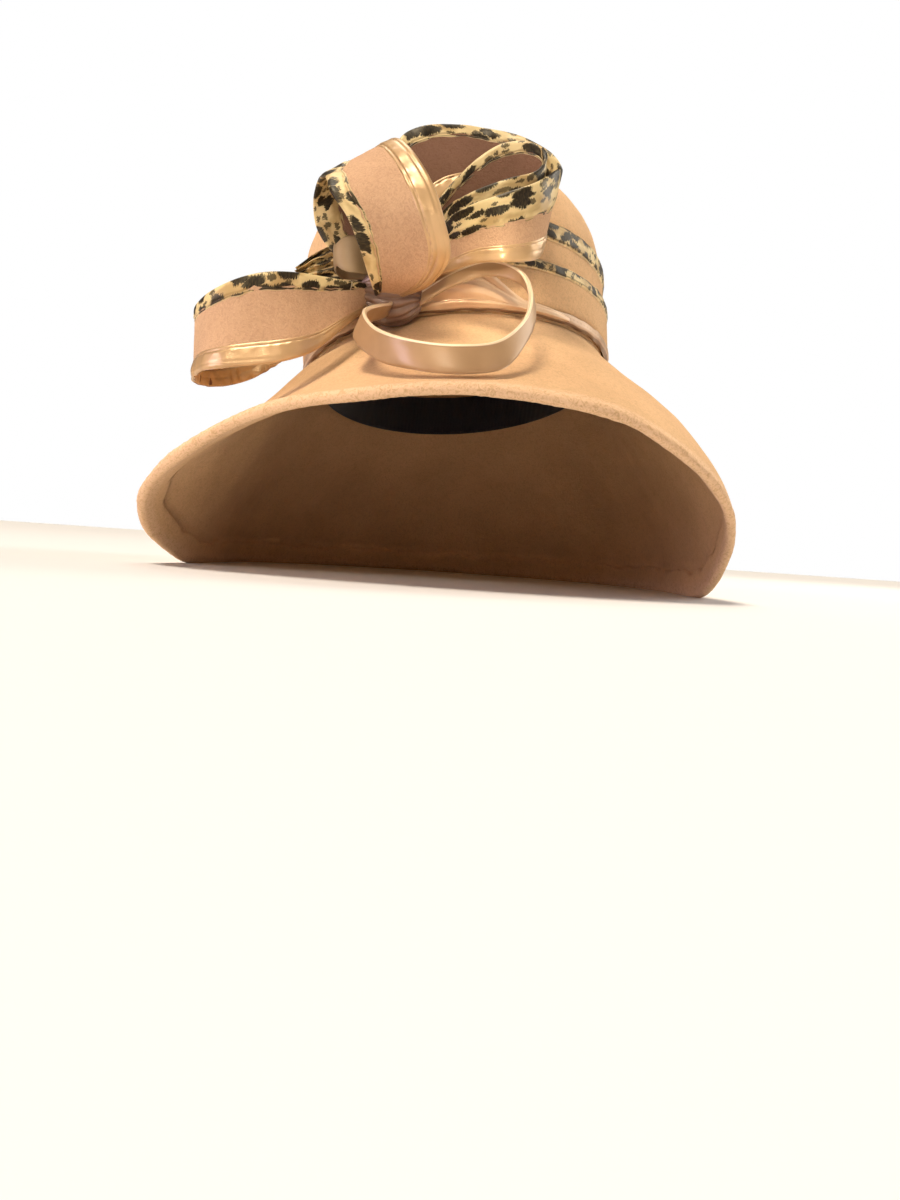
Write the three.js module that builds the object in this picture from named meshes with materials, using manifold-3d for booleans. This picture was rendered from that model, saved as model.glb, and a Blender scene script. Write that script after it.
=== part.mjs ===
// A wide-brim dress hat of camel felt, trimmed with two wrap bands and a large looped bow.
// The hat rests on the rim of its brim. Lengths are in millimetres and angles in degrees.
// +Z is up, -Y is the front of the hat and +X is its left side, the right one of a facing viewer.
import * as THREE from 'three';
import { mergeVertices } from 'three/addons/utils/BufferGeometryUtils.js';
import Module from 'manifold-3d';

const wasm = await Module();
wasm.setup();

// Felt, bindings and the gap between pieces that touch
const FELT = 2.2;
const GAP = 0.3;
const LANE_GAP = 0.4;
const LOOP_FELT = 1.5;
const BINDING = 1.9;
const SATIN_TUBE = 1.8;
const LEOPARD_WIDTH = 10;
const SATIN_WIDTH = 12;

// Crown: an oval wall, a little wider at the shoulder, under a dome
const HALF_WIDTH = 85.5;
const HALF_DEPTH = 102.5;
const FLARE = 2;
const SHOULDER = 55;
const DOME_RISE = 68;

// Where the crown meets the brim, and how the crown leans there
const JOINT_HEIGHT = 119.5;
const LEAN_SIDE = 6.4;
const LEAN_BACK = 9.6;
const COLLAR = 13;
const SHOULDER_OUTSET = 0.2;

// Sweatband
const RIBBON = 0.8;
const RIBBON_TOP = 19;
const RIBBON_FOOT = -7;

// Rim of the brim
const ROLL_RADIUS = 2.8;
const HEM = 12;
const HEM_THICKNESS = 4.2;

// How far the rim is pressed flat where it rests
const PRESS = 1.1;

// Rows round the rim: the angle round the crown, the rim's outermost line and the bulge of the brim
const RIM = [
  { angle: 0, x: 2, y: -198, z: 85, bulge: -3 },
  { angle: 14, x: 42, y: -193, z: 84, bulge: -2 },
  { angle: 27, x: 78, y: -181, z: 79, bulge: 1 },
  { angle: 40, x: 113, y: -160, z: 63.5, bulge: 4 },
  { angle: 52, x: 137, y: -130, z: 46, bulge: 8 },
  { angle: 61, x: 147.5, y: -98, z: 28.5, bulge: 11 },
  { angle: 70, x: 148.5, y: -66, z: 9.5, bulge: 12 },
  { angle: 81, x: 147, y: -37, z: 1, bulge: 12 },
  { angle: 95, x: 144, y: 8, z: 0, bulge: 11 },
  { angle: 115, x: 137, y: 66, z: 0, bulge: 10 },
  { angle: 145, x: 93, y: 136, z: 0, bulge: 8 },
  { angle: 180, x: 0, y: 172, z: 0, bulge: 6 },
  { angle: 215, x: -91, y: 138, z: 0, bulge: 5 },
  { angle: 245, x: -136, y: 68, z: 0, bulge: 4 },
  { angle: 266, x: -142, y: 6, z: 0, bulge: 3 },
  { angle: 280, x: -145, y: -38, z: 1, bulge: 2 },
  { angle: 290, x: -150, y: -66, z: 7.5, bulge: 0 },
  { angle: 299, x: -154.5, y: -96, z: 20, bulge: -3 },
  { angle: 308, x: -147, y: -127, z: 36, bulge: -5 },
  { angle: 318, x: -123, y: -157, z: 53, bulge: -6 },
  { angle: 331, x: -83, y: -181, z: 72, bulge: -6 },
  { angle: 346, x: -41, y: -194, z: 80, bulge: -5 },
];

// Wrap bands, as heights above the joint and thicknesses
const BANDS = [
  { name: 'upper_band_leopard', foot: 43.3, top: 54, inner: 0.3, outer: 3.0, colour: 'leopard' },
  { name: 'upper_band_felt', foot: 21, top: 43, inner: 0.3, outer: 2.1, colour: 'felt' },
  { name: 'lower_band_leopard', foot: 24.3, top: 30.5, inner: 2.4, outer: 4.6, colour: 'leopard' },
  { name: 'lower_band_felt', foot: 6.3, top: 24, inner: 2.4, outer: 4.1, colour: 'felt' },
  { name: 'lower_band_satin', foot: 0.2, top: 6, inner: 2.4, outer: 4.6, colour: 'satin' },
];
const BAND_OUTSIDE = 4.6;

// Satin laid in pleats over the lower band, from the knot to the right
const DRAPE = [
  { angle: -17, top: 17, lift: 3.5 },
  { angle: -8, top: 24, lift: 4 },
  { angle: 4, top: 25, lift: 4 },
  { angle: 16, top: 20, lift: 3.5 },
  { angle: 28, top: 13, lift: 2.6 },
  { angle: 40, top: 7.5, lift: 1.6 },
];
const DRAPE_PLEATS = 3.5;
const DRAPE_FOOT = 0.8;
const DRAPE_THICKNESS = 0.8;

// Knot of the bow
const KNOT = { x: -34, y: -110.5, z: 140, halfWidth: 19, halfDepth: 13.5, halfHeight: 16 };
const KNOT_SECTIONS = 16;
const KNOT_ROWS = 10;

// Loops of the bow. Each row gives where the leopard edge and the satin edge of the strip pass.
const LEFT_LOOP = [
  { leopard: [-44, -113, 145], satin: [-45, -115, 133] },
  { leopard: [-55, -126, 143], satin: [-56, -133, 117] },
  { leopard: [-65, -136, 142], satin: [-67, -142, 105] },
  { leopard: [-77, -144, 141], satin: [-79, -148, 99] },
  { leopard: [-90, -148, 139], satin: [-93, -149, 96] },
  { leopard: [-103, -148, 135], satin: [-107, -148, 94] },
  { leopard: [-115, -143, 130], satin: [-118, -141, 93] },
  { leopard: [-124, -130, 127], satin: [-125, -127, 91] },
  { leopard: [-128, -111, 128], satin: [-126, -108, 91] },
  { leopard: [-126, -92, 134], satin: [-118, -88, 94] },
  { leopard: [-115, -77, 142], satin: [-106, -75, 101] },
  { leopard: [-97, -73, 147], satin: [-92, -77, 110] },
  { leopard: [-76, -86, 147], satin: [-74, -90, 121] },
  { leopard: [-52, -103, 145], satin: [-52, -105, 134] },
];
const CENTRE_LOOP = [
  { leopard: [-41, -117, 138], satin: [-30, -117, 138] },
  { leopard: [-43, -136, 143], satin: [-12, -133, 144] },
  { leopard: [-47, -147, 153], satin: [-5, -144, 153] },
  { leopard: [-53, -154, 165], satin: [-9, -152, 168] },
  { leopard: [-61, -154, 175], satin: [-14, -151, 181] },
  { leopard: [-64, -146, 183], satin: [-22, -145, 195] },
  { leopard: [-68, -134, 189], satin: [-31, -131, 208] },
  { leopard: [-73, -118, 191], satin: [-38, -114, 213] },
  { leopard: [-76, -105, 186], satin: [-42, -102, 205] },
  { leopard: [-74, -101, 174], satin: [-42, -97, 190] },
  { leopard: [-64, -103, 161], satin: [-42, -99, 171] },
  { leopard: [-50, -106, 151], satin: [-39, -106, 154] },
];
const BACK_LOOP = [
  { leopard: [-28, -109, 159], satin: [-21, -109.5, 148] },
  { leopard: [-33, -105, 179], satin: [-19, -107, 163] },
  { leopard: [-38, -99, 206], satin: [-19, -103, 179] },
  { leopard: [-35, -94, 224], satin: [-13, -102, 190] },
  { leopard: [-24, -90, 232], satin: [-5, -101, 196] },
  { leopard: [-7, -87, 235], satin: [5, -100, 199] },
  { leopard: [10, -86, 234], satin: [17, -100, 197] },
  { leopard: [26, -89, 230], satin: [29, -101, 192] },
  { leopard: [40, -97, 221], satin: [36, -105, 178] },
  { leopard: [46, -109, 209], satin: [38, -114, 167] },
  { leopard: [42, -122, 203], satin: [36, -123, 160] },
  { leopard: [31, -134, 192], satin: [30, -132, 156] },
  { leopard: [17, -138, 185], satin: [20, -136, 154] },
  { leopard: [2, -134, 180], satin: [8, -132, 154] },
  { leopard: [-11, -126, 173], satin: [-3, -124, 152] },
  { leopard: [-23, -119, 157], satin: [-20, -119, 146] },
];
const INNER_LOOP = [
  { leopard: [-24, -112.5, 159], satin: [-20, -112.5, 149] },
  { leopard: [-14, -111, 188], satin: [-11, -112, 160] },
  { leopard: [-4, -107, 203], satin: [0, -110, 171] },
  { leopard: [5, -105, 213], satin: [8, -110, 179] },
  { leopard: [16, -103, 221], satin: [18, -109, 185] },
  { leopard: [28, -103, 223], satin: [28, -109, 188] },
  { leopard: [36, -107, 219], satin: [34, -112, 185] },
  { leopard: [37, -114, 210], satin: [35, -116, 179] },
  { leopard: [32, -121, 202], satin: [32, -122, 172] },
  { leopard: [19, -126, 196], satin: [21, -126, 166] },
  { leopard: [2, -124, 189], satin: [7, -123, 161] },
  { leopard: [-10, -119, 182], satin: [-5, -118, 157] },
  { leopard: [-22, -115.8, 159], satin: [-19, -115.8, 149] },
];

// Satin tube of the ring over the front brim. Each row gives its upper and its lower edge.
const RING_LOOP = [
  { upper: [-30, -121, 135], lower: [-32, -121, 127] },
  { upper: [-36, -136, 131], lower: [-42, -139, 121] },
  { upper: [-42, -153, 124], lower: [-47, -154, 111] },
  { upper: [-36, -169, 114], lower: [-34, -169, 99] },
  { upper: [-20, -182, 107], lower: [-17, -184, 93.5] },
  { upper: [0, -187, 105], lower: [3, -189, 92] },
  { upper: [17, -183, 108], lower: [21, -185, 96] },
  { upper: [29, -168, 121], lower: [32, -169, 112] },
  { upper: [32, -149, 138], lower: [35, -150, 129] },
  { upper: [26, -132, 153], lower: [28, -133, 145] },
  { upper: [12, -123, 158], lower: [13, -124, 150] },
  { upper: [-3, -119, 153], lower: [-4, -120, 145] },
  { upper: [-18, -117, 143], lower: [-19, -117, 135] },
];
const SMALL_LOOP = [
  { upper: [-38, -114, 155], lower: [-41, -115, 148] },
  { upper: [-52, -124, 165], lower: [-50, -125, 147] },
  { upper: [-60, -123, 165], lower: [-58, -124, 146] },
  { upper: [-63, -117, 165], lower: [-61, -118, 146] },
  { upper: [-59, -110, 163], lower: [-57, -111, 147] },
  { upper: [-45, -110, 157], lower: [-46, -110, 148] },
];
const TUFT = [
  { upper: [-42, -101, 156], lower: [-43, -101, 148] },
  { upper: [-61, -92, 169], lower: [-61, -92, 151] },
  { upper: [-74, -89, 165], lower: [-74, -88, 150] },
  { upper: [-85, -86, 157], lower: [-86, -85, 151] },
];
const TUFT_PLEATS = 3;
const TUFT_PLEAT_DEPTH = 1.8;

// Width of a loop's strip where it is widest
const LOOP_WIDTH = 46;

// How finely the rings, the dome, the brim, the drape and the strips are divided
const SECTIONS = 60;
const DOME_ROWS = 7;
const BRIM_ROWS = 5;
const DRAPE_COLUMNS = 15;
const DRAPE_ROWS = 9;
const STEPS_PER_ROW = 2;
const STEPS_PER_PLEAT = 4;

const COLOURS = {
  felt: { color: 0xc79a6b, roughness: 0.95, metalness: 0 },
  satin: { color: 0xe2b98a, roughness: 0.35, metalness: 0 },
  leopard: { color: 0xb58f4e, roughness: 0.45, metalness: 0 },
  ribbon: { color: 0x17161c, roughness: 0.8, metalness: 0 },
};

const radians = THREE.MathUtils.degToRad;
const leaned = new THREE.Matrix4()
  .makeTranslation(0, 0, JOINT_HEIGHT)
  .multiply(new THREE.Matrix4().makeRotationX(radians(-LEAN_BACK)))
  .multiply(new THREE.Matrix4().makeRotationY(radians(-LEAN_SIDE)));
const crownUp = new THREE.Vector3(0, 0, 1).transformDirection(leaned);

// Point of the crown's wall at an angle from the front, a height above the joint and an outset
function wallPoint(angle, height, outset) {
  const flare = FLARE * Math.min(1, Math.max(0, height / SHOULDER));
  const a = radians(angle);
  return new THREE.Vector3(
    (HALF_WIDTH + flare + outset) * Math.sin(a),
    -(HALF_DEPTH + flare + outset) * Math.cos(a),
    height,
  ).applyMatrix4(leaned);
}

// Point of the dome above the shoulder, with turn going from 0 at the shoulder to 90 at the top
function domePoint(angle, turn, outset) {
  const a = radians(angle);
  const t = radians(turn);
  return new THREE.Vector3(
    (HALF_WIDTH + FLARE + outset) * Math.sin(a) * Math.cos(t),
    -(HALF_DEPTH + FLARE + outset) * Math.cos(a) * Math.cos(t),
    SHOULDER + (DOME_RISE + outset) * Math.sin(t),
  ).applyMatrix4(leaned);
}

// Value of a table's column at an angle, on a smooth curve that closes on itself
function aroundTable(rows, column, angle) {
  const count = rows.length;
  const at = (n) => rows[((n % count) + count) % count];
  const angleOf = (n) => at(n).angle + 360 * Math.floor(n / count);
  const wrapped = ((angle % 360) + 360) % 360;
  let n = count - 1;
  while (at(n).angle > wrapped) n -= 1;
  const slope = (k) => (at(k + 1)[column] - at(k - 1)[column]) / (angleOf(k + 1) - angleOf(k - 1));
  return hermite(angleOf(n), at(n)[column], slope(n), angleOf(n + 1), at(n + 1)[column], slope(n + 1), wrapped);
}

function hermite(x0, y0, m0, x1, y1, m1, x) {
  const w = x1 - x0;
  const t = (x - x0) / w;
  const t2 = t * t;
  const t3 = t2 * t;
  return y0 * (2 * t3 - 3 * t2 + 1) + m0 * w * (t3 - 2 * t2 + t)
    + y1 * (3 * t2 - 2 * t3) + m1 * w * (t3 - t2);
}

// Value of a table's column at a place between its first and last angle
function alongTable(rows, column, angle) {
  let n = 0;
  while (n < rows.length - 2 && rows[n + 1].angle < angle) n += 1;
  const share = (angle - rows[n].angle) / (rows[n + 1].angle - rows[n].angle);
  const eased = share * share * (3 - 2 * share);
  return THREE.MathUtils.lerp(rows[n][column], rows[n + 1][column], eased);
}

// Closed body from points and triangles, turned so that its faces point out
function body(points, faces) {
  let volume = 0;
  for (const [a, b, c] of faces) {
    volume += points[a].dot(new THREE.Vector3().crossVectors(points[b], points[c]));
  }
  const index = volume > 0 ? faces.flat() : faces.map(([a, b, c]) => [a, c, b]).flat();
  const geometry = new THREE.BufferGeometry().setFromPoints(points);
  geometry.setIndex(index);
  return geometry;
}

// Body that closes on itself: a ring of sections, each a closed outline
function ringBody(sections) {
  const m = sections[0].length;
  const n = sections.length;
  const faces = [];
  for (let i = 0; i < n; i += 1) {
    for (let j = 0; j < m; j += 1) {
      const a = i * m + j;
      const b = i * m + ((j + 1) % m);
      const c = ((i + 1) % n) * m + j;
      const d = ((i + 1) % n) * m + ((j + 1) % m);
      faces.push([a, b, d], [a, d, c]);
    }
  }
  return body(sections.flat(), faces);
}

// Body between an outer and an inner grid of points of the same size
function slabBody(outer, inner) {
  const rows = outer.length;
  const columns = outer[0].length;
  const size = rows * columns;
  const faces = [];
  const quad = (a, b, c, d) => faces.push([a, b, c], [a, c, d]);
  for (let i = 0; i < rows - 1; i += 1) {
    for (let j = 0; j < columns - 1; j += 1) {
      const a = i * columns + j;
      quad(a, a + 1, a + columns + 1, a + columns);
      quad(size + a, size + a + columns, size + a + columns + 1, size + a + 1);
    }
  }
  const border = [];
  for (let j = 0; j < columns - 1; j += 1) border.push(j);
  for (let i = 0; i < rows - 1; i += 1) border.push(i * columns + columns - 1);
  for (let j = columns - 1; j > 0; j -= 1) border.push((rows - 1) * columns + j);
  for (let i = rows - 1; i > 0; i -= 1) border.push(i * columns);
  border.forEach((a, k) => {
    const b = border[(k + 1) % border.length];
    quad(b, a, size + a, size + b);
  });
  return body([...outer.flat(), ...inner.flat()], faces);
}

// Body closed by a pole at each end: the wall of a cup, from its inner pole to its outer pole
function cupBody(innerPole, rings, outerPole) {
  const m = rings[0].length;
  const points = [innerPole, ...rings.flat(), outerPole];
  const faces = [];
  const last = points.length - 1;
  for (let j = 0; j < m; j += 1) {
    const next = (j + 1) % m;
    faces.push([0, 1 + next, 1 + j]);
    faces.push([last, last - m + j, last - m + next]);
    for (let i = 0; i < rings.length - 1; i += 1) {
      const a = 1 + i * m + j;
      const b = 1 + i * m + next;
      faces.push([a, b, b + m], [a, b + m, a + m]);
    }
  }
  return body(points, faces);
}

function toSolid(geometry) {
  const bare = geometry.clone();
  bare.deleteAttribute('normal');
  bare.deleteAttribute('uv');
  const merged = mergeVertices(bare);
  return new wasm.Manifold(new wasm.Mesh({
    numProp: 3,
    vertProperties: new Float32Array(merged.attributes.position.array),
    triVerts: new Uint32Array(merged.index.array),
  }));
}

function toGeometry(solid) {
  const mesh = solid.getMesh();
  const geometry = new THREE.BufferGeometry();
  geometry.setAttribute('position', new THREE.BufferAttribute(mesh.vertProperties.slice(), 3));
  geometry.setIndex(new THREE.BufferAttribute(mesh.triVerts.slice(), 1));
  return geometry;
}

function finish(name, geometry, colour) {
  const mesh = new THREE.Mesh(geometry, new THREE.MeshStandardMaterial(COLOURS[colour]));
  mesh.name = name;
  return mesh;
}

function angles(count) {
  return Array.from({ length: count }, (_, n) => (360 * n) / count);
}

function makeCrown() {
  const ringAt = (point) => angles(SECTIONS).map(point);
  const turns = Array.from({ length: DOME_ROWS }, (_, n) => (90 * n) / DOME_ROWS);
  const inner = turns.map((turn) => ringAt((angle) => domePoint(angle, turn, -FELT))).reverse();
  const outer = turns.map((turn) => ringAt((angle) => domePoint(angle, turn, 0)));
  const rings = [
    ...inner,
    ringAt((angle) => wallPoint(angle, GAP, -FELT)),
    ringAt((angle) => wallPoint(angle, GAP, 0)),
    ...outer,
  ];
  return finish('crown', cupBody(domePoint(0, 90, -FELT), rings, domePoint(0, 90, 0)), 'felt');
}

// The brim bulges by s * s * (1 - s) of this from the crown to the rim, which is 1 at s = 2 / 3
const BULGE_SCALE = 6.75;

// Section of the brim at an angle: down the collar, out to the rim, round it and back under
function brimSection(angle, raise) {
  const shoulder = wallPoint(angle, -GAP, SHOULDER_OUTSET);
  const rim = new THREE.Vector3(
    aroundTable(RIM, 'x', angle),
    aroundTable(RIM, 'y', angle),
    Math.max(0, aroundTable(RIM, 'z', angle)) - PRESS,
  );
  const bulge = aroundTable(RIM, 'bulge', angle);
  const out = rim.clone().sub(shoulder).normalize();
  const up = crownUp.clone().addScaledVector(out, -crownUp.dot(out)).normalize();
  const centre = rim.clone().addScaledVector(out, -ROLL_RADIUS);
  const end = centre.clone().addScaledVector(up, ROLL_RADIUS);
  const reach = end.distanceTo(shoulder);
  const topAt = (s) => shoulder.clone().lerp(end, s)
    .addScaledVector(up, bulge * BULGE_SCALE * s * s * (1 - s));
  const under = (s, depth) => topAt(s).addScaledVector(up, -depth);
  const hemAt = 1 - HEM / reach;
  const shares = Array.from({ length: BRIM_ROWS }, (_, n) => (0.9 * (n + 0.6)) / BRIM_ROWS);
  const inside = -FELT - GAP;
  const outline = [
    wallPoint(angle, COLLAR, inside),
    wallPoint(angle, -GAP, inside),
    shoulder,
    ...shares.map((s) => topAt(s)),
  ];
  for (const turn of [0, 45, 90, 135, 180]) {
    const t = radians(turn);
    outline.push(centre.clone()
      .addScaledVector(up, ROLL_RADIUS * Math.cos(t))
      .addScaledVector(out, ROLL_RADIUS * Math.sin(t)));
  }
  outline.push(under(hemAt, HEM_THICKNESS), under(hemAt - 0.005, FELT));
  for (const s of [...shares].reverse()) {
    outline.push(under(s, FELT));
  }
  outline.push(
    wallPoint(angle, -GAP - FELT * 0.6, inside - FELT),
    wallPoint(angle, COLLAR, inside - FELT),
  );
  for (const point of outline) point.z = Math.max(0, point.z) + raise;
  return outline;
}

function brimBody(raise) {
  return ringBody(angles(SECTIONS).map((angle) => brimSection(angle, raise)));
}

// Oval ring round the crown between two heights and two outsets from its wall
function wallRing(foot, top, inner, outer) {
  return ringBody(angles(SECTIONS).map((angle) => [
    wallPoint(angle, foot, inner),
    wallPoint(angle, foot, outer),
    wallPoint(angle, top, outer),
    wallPoint(angle, top, inner),
  ]));
}

function makeSweatband() {
  const outside = -2 * (FELT + GAP);
  return finish('sweatband', wallRing(RIBBON_FOOT, RIBBON_TOP, outside - RIBBON, outside), 'ribbon');
}

function makeBands() {
  return BANDS.map((band) => finish(
    band.name,
    wallRing(band.foot, band.top, band.inner, band.outer),
    band.colour,
  ));
}

// Drape, or the space that it fills when it grows by a distance all over
function drapeBody(grow) {
  const first = DRAPE[0].angle;
  const last = DRAPE[DRAPE.length - 1].angle;
  const inner = [];
  const outer = [];
  for (let i = 0; i < DRAPE_ROWS; i += 1) {
    const up = i / (DRAPE_ROWS - 1);
    const pleat = 0.55 + 0.45 * Math.cos(2 * Math.PI * DRAPE_PLEATS * up);
    const swell = pleat * Math.sin(Math.PI * (0.1 + 0.8 * up));
    const outerRow = [];
    const innerRow = [];
    for (let j = 0; j < DRAPE_COLUMNS; j += 1) {
      const angle = THREE.MathUtils.lerp(first - grow / 2, last + grow / 2, j / (DRAPE_COLUMNS - 1));
      const width = alongTable(DRAPE, 'top', angle) - DRAPE_FOOT;
      const height = DRAPE_FOOT - grow + up * (width + 2 * grow);
      const lift = DRAPE_THICKNESS + alongTable(DRAPE, 'lift', angle) * swell;
      outerRow.push(wallPoint(angle, height, BAND_OUTSIDE + GAP + lift + grow));
      innerRow.push(wallPoint(angle, height, BAND_OUTSIDE + GAP - grow));
    }
    outer.push(outerRow);
    inner.push(innerRow);
  }
  return slabBody(outer, inner);
}

// Strip between two edges that a table gives, or the lane of it between two shares of its width
function stripBody(rows, edges, { share = [0, 1], thickness, grow = 0, pleats = 0, pleatDepth = 0 }) {
  const curves = edges.map((edge) => new THREE.CatmullRomCurve3(
    rows.map((row) => new THREE.Vector3(...row[edge])),
    false,
    'centripetal',
  ));
  const stations = (rows.length - 1) * STEPS_PER_ROW + 1;
  const columns = pleats > 0 ? STEPS_PER_PLEAT * pleats + 1 : 2;
  const trim = share.map((s) => (s > 0 && s < 1 ? LANE_GAP / 2 : 0));
  const middle = (t) => curves[0].getPoint(t).lerp(curves[1].getPoint(t), 0.5);
  const outer = [];
  const inner = [];
  for (let i = 0; i < stations; i += 1) {
    const t = i / (stations - 1);
    const edge = curves[0].getPoint(t);
    const across = curves[1].getPoint(t).sub(edge);
    const width = across.length();
    across.normalize();
    const along = middle(Math.min(1, t + 0.01)).sub(middle(Math.max(0, t - 0.01)));
    const face = new THREE.Vector3().crossVectors(along, across).normalize();
    const outerRow = [];
    const innerRow = [];
    for (let j = 0; j < columns; j += 1) {
      const place = THREE.MathUtils.lerp(
        share[0] * width + trim[0] - grow,
        share[1] * width - trim[1] + grow,
        j / (columns - 1),
      );
      const fold = pleatDepth * Math.cos((2 * Math.PI * j) / STEPS_PER_PLEAT) * Math.sin((Math.PI * t) / 2);
      const point = edge.clone().addScaledVector(across, place).addScaledVector(face, fold);
      outerRow.push(point.clone().addScaledVector(face, thickness / 2 + grow));
      innerRow.push(point.clone().addScaledVector(face, -thickness / 2 - grow));
    }
    outer.push(outerRow);
    inner.push(innerRow);
  }
  return slabBody(outer, inner);
}

const LANES = [
  { part: 'leopard', share: [0, LEOPARD_WIDTH / LOOP_WIDTH], thickness: BINDING, colour: 'leopard' },
  {
    part: 'felt',
    share: [LEOPARD_WIDTH / LOOP_WIDTH, 1 - SATIN_WIDTH / LOOP_WIDTH],
    thickness: LOOP_FELT,
    colour: 'felt',
  },
  { part: 'satin', share: [1 - SATIN_WIDTH / LOOP_WIDTH, 1], thickness: BINDING, colour: 'satin' },
];
const LOOPS = [
  { name: 'left_loop', rows: LEFT_LOOP },
  { name: 'centre_loop', rows: CENTRE_LOOP },
  { name: 'back_loop', rows: BACK_LOOP },
  { name: 'inner_loop', rows: INNER_LOOP },
];
const STRIPS = [
  { name: 'ring_loop', rows: RING_LOOP, thickness: SATIN_TUBE, colour: 'satin' },
  { name: 'small_loop', rows: SMALL_LOOP, thickness: SATIN_TUBE, colour: 'satin' },
  {
    name: 'leopard_tuft',
    rows: TUFT,
    thickness: LOOP_FELT,
    colour: 'leopard',
    pleats: TUFT_PLEATS,
    pleatDepth: TUFT_PLEAT_DEPTH,
  },
];

function makeLoops() {
  const lanes = LOOPS.flatMap(({ name, rows }) => LANES.map((lane) => finish(
    `${name}_${lane.part}`,
    stripBody(rows, ['leopard', 'satin'], lane),
    lane.colour,
  )));
  const strips = STRIPS.map((strip) => finish(
    strip.name,
    stripBody(strip.rows, ['upper', 'lower'], strip),
    strip.colour,
  ));
  return [...lanes, ...strips];
}

// Knot: a gathered pad, cut back from the band, the brim and every strip that enters it
function makeKnot() {
  const pad = new THREE.SphereGeometry(1, KNOT_SECTIONS, KNOT_ROWS);
  pad.scale(KNOT.halfWidth, KNOT.halfDepth, KNOT.halfHeight);
  pad.translate(KNOT.x, KNOT.y, KNOT.z);
  const cutters = [
    wallRing(-2 * BAND_OUTSIDE, SHOULDER, 0, BAND_OUTSIDE + GAP),
    brimBody(0),
    brimBody(2 * GAP),
    drapeBody(GAP),
    ...LOOPS.map(({ rows }) => stripBody(rows, ['leopard', 'satin'], { thickness: BINDING, grow: GAP })),
    ...STRIPS.map((strip) => stripBody(strip.rows, ['upper', 'lower'], { ...strip, grow: GAP })),
  ];
  const left = cutters.reduce((knot, cutter) => knot.subtract(toSolid(cutter)), toSolid(pad));
  const [largest] = left.decompose().sort((a, b) => b.volume() - a.volume());
  return finish('bow_knot', toGeometry(largest), 'satin');
}

const hat = new THREE.Group();
hat.add(
  makeCrown(),
  finish('brim', brimBody(0), 'felt'),
  makeSweatband(),
  ...makeBands(),
  finish('satin_drape', drapeBody(0), 'satin'),
  ...makeLoops(),
  makeKnot(),
);

// The origin lies on the floor under the middle of the brim's outline
const box = new THREE.Box3().setFromObject(hat);
hat.position.set(-(box.min.x + box.max.x) / 2, -(box.min.y + box.max.y) / 2, 0);
hat.updateMatrixWorld(true);

export default hat;
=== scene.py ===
import math

import bpy
import numpy as np
from mathutils import Matrix, Vector


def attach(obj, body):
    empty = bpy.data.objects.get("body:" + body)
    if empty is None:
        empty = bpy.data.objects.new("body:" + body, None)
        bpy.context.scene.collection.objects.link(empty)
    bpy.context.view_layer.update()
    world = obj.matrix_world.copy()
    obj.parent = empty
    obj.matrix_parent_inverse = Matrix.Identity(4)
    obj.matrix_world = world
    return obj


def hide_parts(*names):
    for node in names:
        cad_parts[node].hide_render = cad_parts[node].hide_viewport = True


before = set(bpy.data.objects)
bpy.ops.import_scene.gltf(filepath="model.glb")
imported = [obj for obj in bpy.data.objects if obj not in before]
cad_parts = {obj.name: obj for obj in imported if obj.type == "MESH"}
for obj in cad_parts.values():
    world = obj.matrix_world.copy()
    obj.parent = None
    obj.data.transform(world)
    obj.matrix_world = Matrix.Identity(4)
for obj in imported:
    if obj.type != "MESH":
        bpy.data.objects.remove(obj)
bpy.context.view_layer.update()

# Lengths in the tables are in millimetres and angles in degrees. +Z is up, -Y is the hat's front and
# +X its left side. An angle round the crown is counted from the front towards +X.
MM = 0.001
ORIGIN = np.array([2.6612, 12.5358, 0.0])

# Felt of the crown and the brim, and the gap between pieces that touch
FELT = 2.2
GAP = 0.3

# Strips of the bow: their full width, the bindings' shares of it, half the thickness of each cloth,
# and the bead along the edge of the ring
LOOP_WIDTH = 46
LEOPARD_SHARE = 10 / LOOP_WIDTH
SATIN_SHARE = 1 - 12 / LOOP_WIDTH
BINDING_HALF = 1.25
FELT_HALF = 0.7
RING_HALF = 1.1
SMALL_HALF = 1.0
TUFT_HALF = 0.45
EDGE_BEAD = 0.4

# The place of a point on its strip is kept in its mesh: its length along, its width across, and
# SIDE_MARK plus its distance from the felt's seam, or plus PLAIN where no seam is near. The third is
# negative on the side that a loop turns inwards.
SIDE_MARK = 20
PLAIN = 8

# Length along the leopard binding at which it is joined, on the left loop and on the bands
JOIN_AT = 17.5

# Crown: an oval wall, a little wider at the shoulder, under a dome. CROWN_RADIUS turns an angle round
# it into a length.
HALF_WIDTH = 85.5
HALF_DEPTH = 102.5
CROWN_RADIUS = (HALF_WIDTH + HALF_DEPTH) / 2
FLARE = 2
SHOULDER = 55
DOME_RISE = 68

# Joint of the crown and the brim: its height, the crown's lean, and the brim's collar inside the crown
JOINT_HEIGHT = 119.5
LEAN_SIDE = 6.4
LEAN_BACK = 9.6
SHOULDER_OUTSET = 0.2
COLLAR = 13

# Brim: its rolled rim, its hem, how far the rim sinks where it stands, what the bulge is multiplied by,
# and the rubbed felt along the rim
ROLL_RADIUS = 2.8
HEM = 12
HEM_THICKNESS = 4.2
PRESS = 1.1
BULGE_SCALE = 6.75
RUBBED_REACH = 9
RUBBED_FADE = 4

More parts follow.
